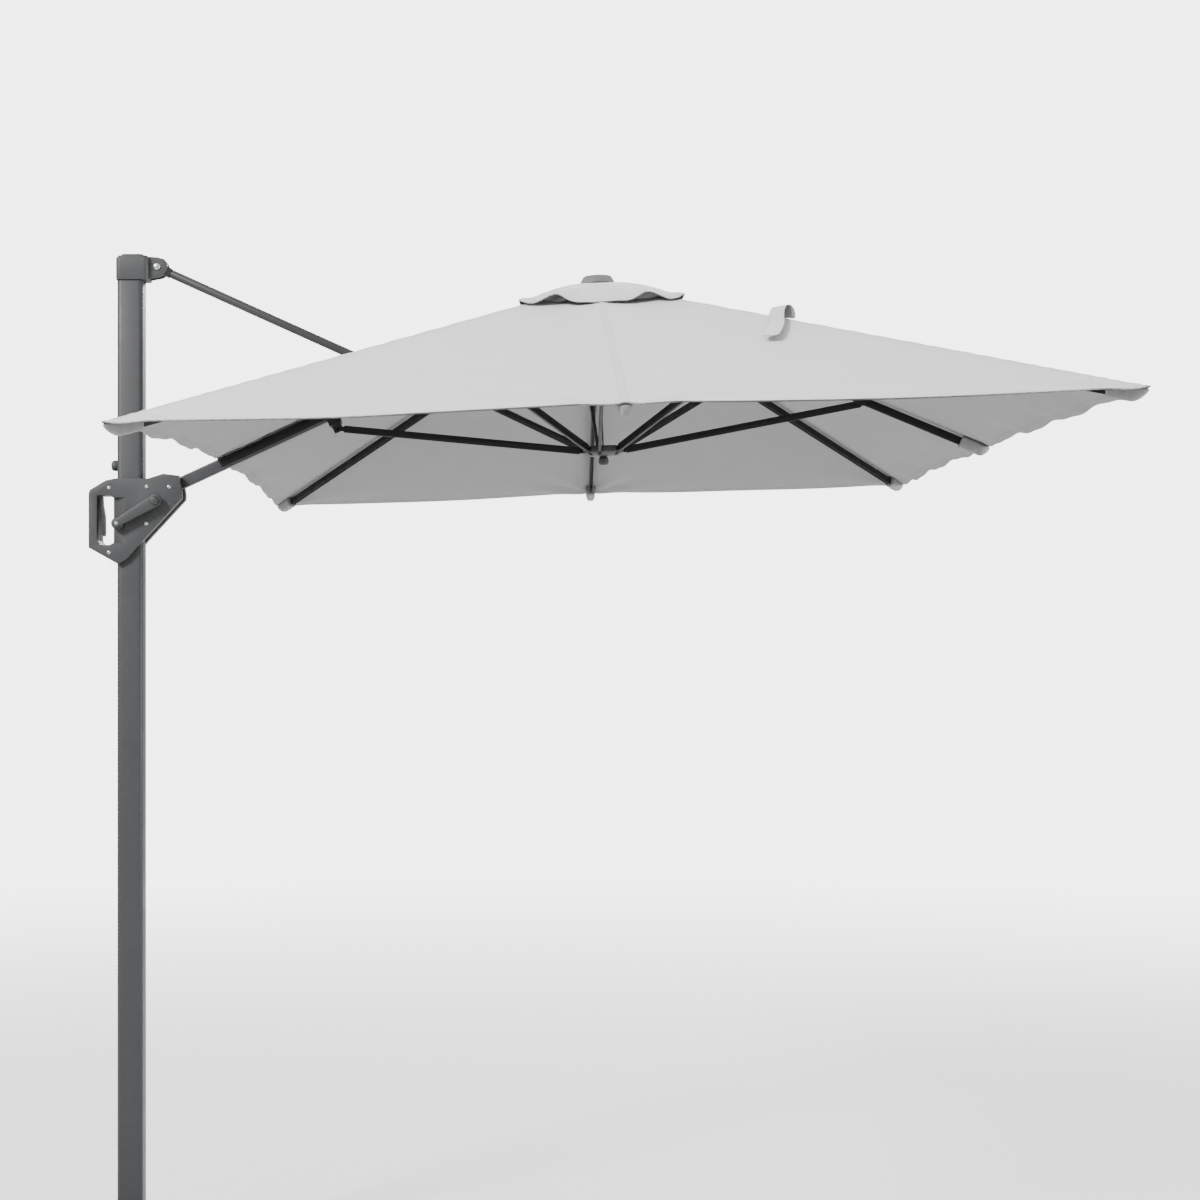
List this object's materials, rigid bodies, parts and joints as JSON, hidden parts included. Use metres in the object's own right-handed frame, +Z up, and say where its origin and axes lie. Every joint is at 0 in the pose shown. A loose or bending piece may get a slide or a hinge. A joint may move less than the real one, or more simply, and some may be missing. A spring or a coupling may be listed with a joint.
{
  "type": "cantilever parasol",
  "caption": "Rectangular light grey canopy with folding ribs, hung from a strutted arm on a square mast with crank, sliding carrier and steel cross foot.",
  "frame": {"origin": "on the ground under the middle of the mast, at the bottom of the centre foot", "axes": "+Z up along the mast, +X from the mast out along the arm to the canopy, +Y to the left seen from the mast towards the canopy"},
  "size_m": [2.7317, 3, 2.613],
  "materials": {
    "mast_paint": "dark grey powder coat, fine texture, satin",
    "rib_paint": "dark grey powder coated aluminium, satin",
    "foot_paint": "near black powder coated steel",
    "dark_plastic": "dark grey moulded plastic, fine grain",
    "grey_plastic": "mid grey moulded plastic",
    "bolt_steel": "zinc plated steel bolts",
    "black_rubber": "black rubber end caps and pads",
    "canopy_cloth": "light warm grey woven polyester, matt",
    "hoist_braid": "black braided cord"
  },
  "bodies": {
    "base": {"foot_centre": "foot_paint", "foot_plate": "foot_paint", "swivel_housing": "dark_plastic", "foot_leg_outer_left": "foot_paint", "foot_leg_outer_right": "foot_paint", "foot_leg_rear_right": "foot_paint", "foot_leg_rear_left": "foot_paint", "foot_pad_outer_left": "black_rubber", "foot_pad_outer_right": "black_rubber", "foot_pad_rear_right": "black_rubber", "foot_pad_rear_left": "black_rubber"},
    "pedal": {"swivel_pedal": "foot_paint"},
    "mast": {"mast_flange": "foot_paint", "mast_tube": "mast_paint", "mast_collar": "dark_plastic", "stop_knob": "dark_plastic", "mast_cap": "dark_plastic", "cap_bolt": "bolt_steel"},
    "strut": {"strut_tube": "mast_paint", "strut_eye": "dark_plastic", "strut_fork": "dark_plastic"},
    "arm": {"arm_tube": "mast_paint", "arm_root": "dark_plastic", "elbow_bolt": "bolt_steel", "crown_hub": "dark_plastic", "finial": "grey_plastic", "canopy_panel_left": "canopy_cloth", "canopy_panel_outer": "canopy_cloth", "canopy_panel_right": "canopy_cloth", "canopy_panel_mast_right": "canopy_cloth", "canopy_panel_mast_left": "canopy_cloth", "vent_cap": "canopy_cloth", "closing_strap": "canopy_cloth", "hoist_cord": "hoist_braid"},
    "carrier": {"carrier_near_shell": "dark_plastic", "carrier_far_shell": "dark_plastic"},
    "release": {"release_trigger": "grey_plastic"},
    "crank": {"crank_arm": "dark_plastic"},
    "crank_knob": {"crank_knob": "grey_plastic"},
    "runner": {"runner_hub": "dark_plastic", "runner_knob": "dark_plastic"},
    "rib_outer": {"rib_outer": "rib_paint"},
    "rib_outer_right": {"rib_outer_right": "rib_paint"},
    "rib_right": {"rib_right": "rib_paint"},
    "rib_mast_right": {"rib_mast_right": "rib_paint"},
    "rib_mast": {"rib_mast": "rib_paint"},
    "rib_mast_left": {"rib_mast_left": "rib_paint"},
    "rib_left": {"rib_left": "rib_paint"},
    "rib_outer_left": {"rib_outer_left": "rib_paint"},
    "stretcher_outer": {"stretcher_outer": "rib_paint"},
    "stretcher_outer_right": {"stretcher_outer_right": "rib_paint"},
    "stretcher_right": {"stretcher_right": "rib_paint"},
    "stretcher_mast_right": {"stretcher_mast_right": "rib_paint"},
    "stretcher_mast": {"stretcher_mast": "rib_paint"},
    "stretcher_mast_left": {"stretcher_mast_left": "rib_paint"},
    "stretcher_left": {"stretcher_left": "rib_paint"},
    "stretcher_outer_left": {"stretcher_outer_left": "rib_paint"}
  },
  "joints": [
    {"name": "mast_swivel", "type": "hinge", "parent": "base", "child": "mast", "pos_m": [0, 0, 0.08], "axis": [0, 0, 1], "continuous": true},
    {"name": "strut_swing", "type": "hinge", "parent": "mast", "child": "strut", "pos_m": [0.068, 0, 2.5805], "axis": [0, 1, 0], "range_deg": [0, 30.26]},
    {"name": "arm_swing", "type": "hinge", "parent": "strut", "child": "arm", "pos_m": [0.709, 0, 2.29201], "axis": [0, -1, 0], "range_deg": [0, 61.46]},
    {"name": "carrier_slide", "type": "slide", "parent": "mast", "child": "carrier", "axis": [0, 0, -1], "range_m": [0, 0.55712]},
    {"name": "crank_turn", "type": "hinge", "parent": "carrier", "child": "crank", "pos_m": [-0.028, -0.046, 1.918], "axis": [0, -1, 0], "range_deg": [0, 2160]},
    {"name": "crank_knob_spin", "type": "hinge", "parent": "crank", "child": "crank_knob", "pos_m": [0.07033, -0.07, 1.97569], "axis": [0, -1, 0], "continuous": true},
    {"name": "release_squeeze", "type": "hinge", "parent": "carrier", "child": "release", "pos_m": [-0.078, 0, 1.986], "axis": [0, 1, 0], "range_deg": [0, 3.6], "stiffness_Nm_per_rad": 4, "springref_deg": -1.15},
    {"name": "pedal_press", "type": "hinge", "parent": "base", "child": "pedal", "pos_m": [-0.074, 0, 0.062], "axis": [0, -1, 0], "range_deg": [0, 4], "stiffness_Nm_per_rad": 8, "springref_deg": -2.29},
    {"name": "runner_slide", "type": "slide", "parent": "arm", "child": "runner", "axis": [0.034, 0, -0.9994], "range_m": [0, 0.945], "deforming": ["canopy_panel_left", "canopy_panel_outer", "canopy_panel_right", "canopy_panel_mast_right", "canopy_panel_mast_left", "closing_strap", "hoist_cord"]},
    {"name": "rib_outer_fold", "type": "hinge", "parent": "arm", "child": "rib_outer", "pos_m": [1.2709, 0, 2.49428], "axis": [0, 1, 0], "range_deg": [0, 65.48]},
    {"name": "stretcher_outer_swing", "type": "hinge", "parent": "runner", "child": "stretcher_outer", "pos_m": [1.26202, 0.0107, 2.10875], "axis": [0, -1, 0], "range_deg": [0, 78.98]},
    {"name": "rib_outer_right_fold", "type": "hinge", "parent": "arm", "child": "rib_outer_right", "pos_m": [1.24153, 0.05491, 2.49328], "axis": [-0.8316, 0.5547, -0.0283], "range_deg": [0, 76.22]},
    {"name": "stretcher_outer_right_swing", "type": "hinge", "parent": "runner", "child": "stretcher_outer_right", "pos_m": [1.25133, 0.03068, 2.10839], "axis": [0.8316, -0.5547, 0.0283], "range_deg": [0, 68.45]},
    {"name": "rib_right_fold", "type": "hinge", "parent": "arm", "child": "rib_right", "pos_m": [1.20494, 0.066, 2.49203], "axis": [-0.9994, 0, -0.034], "range_deg": [0, 73.46]},
    {"name": "stretcher_right_swing", "type": "hinge", "parent": "runner", "child": "stretcher_right", "pos_m": [1.20735, 0.044, 2.10689], "axis": [0.9994, 0, 0.034], "range_deg": [0, 71.05]},
    {"name": "rib_mast_right_fold", "type": "hinge", "parent": "arm", "child": "rib_mast_right", "pos_m": [1.16835, 0.05491, 2.49079], "axis": [-0.8316, -0.5547, -0.0283], "range_deg": [0, 76.22]},
    {"name": "stretcher_mast_right_swing", "type": "hinge", "parent": "runner", "child": "stretcher_mast_right", "pos_m": [1.18475, 0.03068, 2.10612], "axis": [0.8316, 0.5547, 0.0283], "range_deg": [0, 68.45]},
    {"name": "rib_mast_fold", "type": "hinge", "parent": "arm", "child": "rib_mast", "pos_m": [1.13898, 0, 2.48979], "axis": [0, -1, 0], "range_deg": [0, 67.13]},
    {"name": "stretcher_mast_swing", "type": "hinge", "parent": "runner", "child": "stretcher_mast", "pos_m": [1.17407, 0, 2.10576], "axis": [0, 1, 0], "range_deg": [0, 84.34]},
    {"name": "rib_mast_left_fold", "type": "hinge", "parent": "arm", "child": "rib_mast_left", "pos_m": [1.16835, -0.05491, 2.49079], "axis": [0.8316, -0.5547, 0.0283], "range_deg": [0, 76.22]},
    {"name": "stretcher_mast_left_swing", "type": "hinge", "parent": "runner", "child": "stretcher_mast_left", "pos_m": [1.18475, -0.03068, 2.10612], "axis": [-0.8316, 0.5547, -0.0283], "range_deg": [0, 68.45]},
    {"name": "rib_left_fold", "type": "hinge", "parent": "arm", "child": "rib_left", "pos_m": [1.20494, -0.066, 2.49203], "axis": [0.9994, 0, 0.034], "range_deg": [0, 73.46]},
    {"name": "stretcher_left_swing", "type": "hinge", "parent": "runner", "child": "stretcher_left", "pos_m": [1.20735, -0.044, 2.10689], "axis": [-0.9994, 0, -0.034], "range_deg": [0, 71.05]},
    {"name": "rib_outer_left_fold", "type": "hinge", "parent": "arm", "child": "rib_outer_left", "pos_m": [1.24153, -0.05491, 2.49328], "axis": [0.8316, 0.5547, 0.0283], "range_deg": [0, 76.22]},
    {"name": "stretcher_outer_left_swing", "type": "hinge", "parent": "runner", "child": "stretcher_outer_left", "pos_m": [1.25133, -0.03068, 2.10839], "axis": [-0.8316, -0.5547, -0.0283], "range_deg": [0, 68.45]}
  ],
  "couplings": [
    {"joint": "arm_swing", "follows": "strut_swing", "ratio": 2.0311},
    {"joint": "carrier_slide", "follows": "strut_swing", "m_per_rad": 1.0549},
    {"joint": "crank_turn", "follows": "runner_slide", "rad_per_m": 39.893},
    {"joint": "rib_outer_fold", "follows": "runner_slide", "rad_per_m": 1.2093},
    {"joint": "stretcher_outer_swing", "follows": "runner_slide", "rad_per_m": 1.4588},
    {"joint": "rib_outer_right_fold", "follows": "runner_slide", "rad_per_m": 1.4077},
    {"joint": "stretcher_outer_right_swing", "follows": "runner_slide", "rad_per_m": 1.2642},
    {"joint": "rib_right_fold", "follows": "runner_slide", "rad_per_m": 1.3567},
    {"joint": "stretcher_right_swing", "follows": "runner_slide", "rad_per_m": 1.3122},
    {"joint": "rib_mast_right_fold", "follows": "runner_slide", "rad_per_m": 1.4077},
    {"joint": "stretcher_mast_right_swing", "follows": "runner_slide", "rad_per_m": 1.2642},
    {"joint": "rib_mast_fold", "follows": "runner_slide", "rad_per_m": 1.2398},
    {"joint": "stretcher_mast_swing", "follows": "runner_slide", "rad_per_m": 1.5577},
    {"joint": "rib_mast_left_fold", "follows": "runner_slide", "rad_per_m": 1.4077},
    {"joint": "stretcher_mast_left_swing", "follows": "runner_slide", "rad_per_m": 1.2642},
    {"joint": "rib_left_fold", "follows": "runner_slide", "rad_per_m": 1.3567},
    {"joint": "stretcher_left_swing", "follows": "runner_slide", "rad_per_m": 1.3122},
    {"joint": "rib_outer_left_fold", "follows": "runner_slide", "rad_per_m": 1.4077},
    {"joint": "stretcher_outer_left_swing", "follows": "runner_slide", "rad_per_m": 1.2642}
  ]
}
